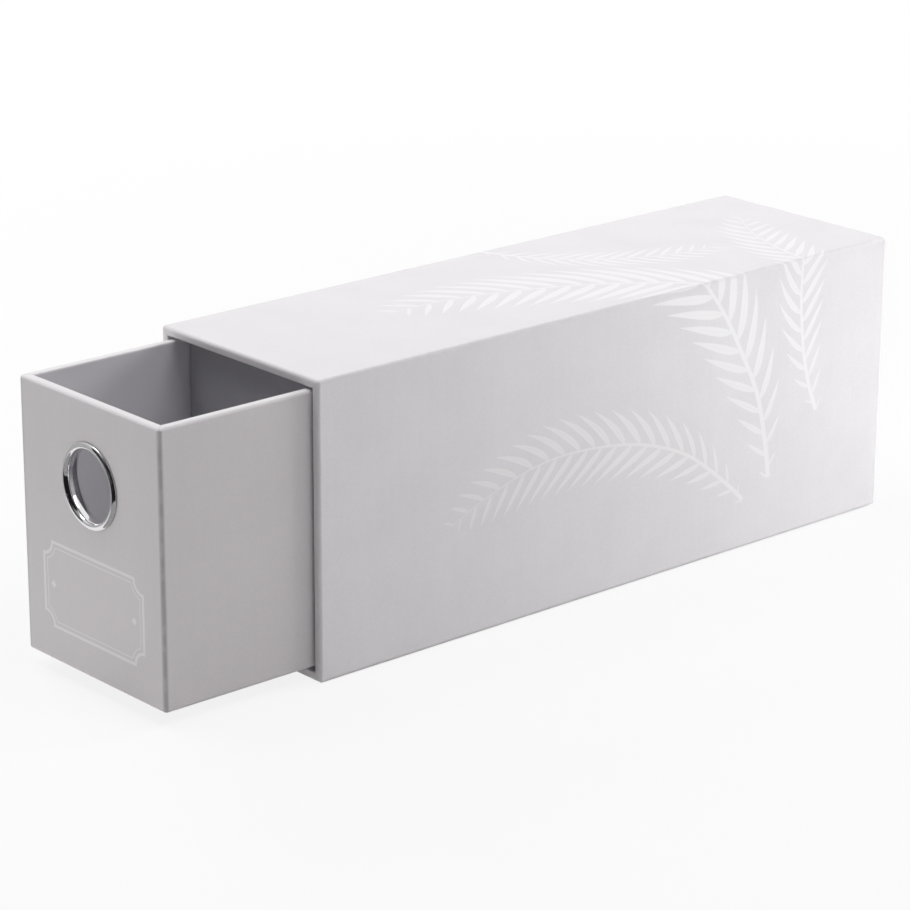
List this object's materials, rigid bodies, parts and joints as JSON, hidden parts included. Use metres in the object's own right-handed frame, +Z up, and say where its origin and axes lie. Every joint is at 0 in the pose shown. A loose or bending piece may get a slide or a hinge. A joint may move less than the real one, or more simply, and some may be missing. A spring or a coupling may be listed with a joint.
{
  "type": "card storage drawer",
  "caption": "Long paper-covered board sleeve, open at one end, with a sliding divided tray for cards and a metal finger ring in the tray's front wall.",
  "frame": {"origin": "centre of the sleeve's underside, on the surface that it stands on", "axes": "+Z up, the sleeve's mouth and the tray's front face -Y, +X to the right when the front is looked at"},
  "size_m": [0.0874, 0.3494, 0.11],
  "materials": {
    "sleeve_paper": "pearly satin printed paper, very pale grey",
    "drawer_paper": "satin silver grey paper, light",
    "sleeve_lining": "matt grey lining paper",
    "drawer_lining": "matt grey lining paper",
    "divider_paper": "matt grey cover paper",
    "grey_board": "raw grey board, hidden under the paper",
    "polished_metal": "bright polished plate"
  },
  "bodies": {
    "sleeve": {"sleeve_wrap": "sleeve_paper", "sleeve_base_sheet": "sleeve_paper", "sleeve_back_sheet": "sleeve_paper", "sleeve_top_board": "grey_board", "sleeve_bottom_board": "grey_board", "sleeve_left_board": "grey_board", "sleeve_right_board": "grey_board", "sleeve_back_board": "grey_board", "sleeve_liner": "sleeve_lining", "sleeve_back_liner": "sleeve_lining"},
    "drawer": {"drawer_wrap": "drawer_paper", "drawer_base_card": "drawer_paper", "drawer_front_board": "grey_board", "drawer_back_board": "grey_board", "drawer_left_board": "grey_board", "drawer_right_board": "grey_board", "drawer_floor_board": "grey_board", "drawer_liner": "drawer_lining", "drawer_floor_liner": "drawer_lining", "divider_front_board": "grey_board", "divider_middle_board": "grey_board", "divider_rear_board": "grey_board", "divider_front_cover": "divider_paper", "divider_middle_cover": "divider_paper", "divider_rear_cover": "divider_paper", "finger_ring": "polished_metal", "ring_back_washer": "polished_metal"}
  },
  "joints": [
    {"name": "drawer_slide", "type": "slide", "parent": "sleeve", "child": "drawer", "axis": [0, -1, 0], "range_m": [-0.0636, 0.222]}
  ]
}
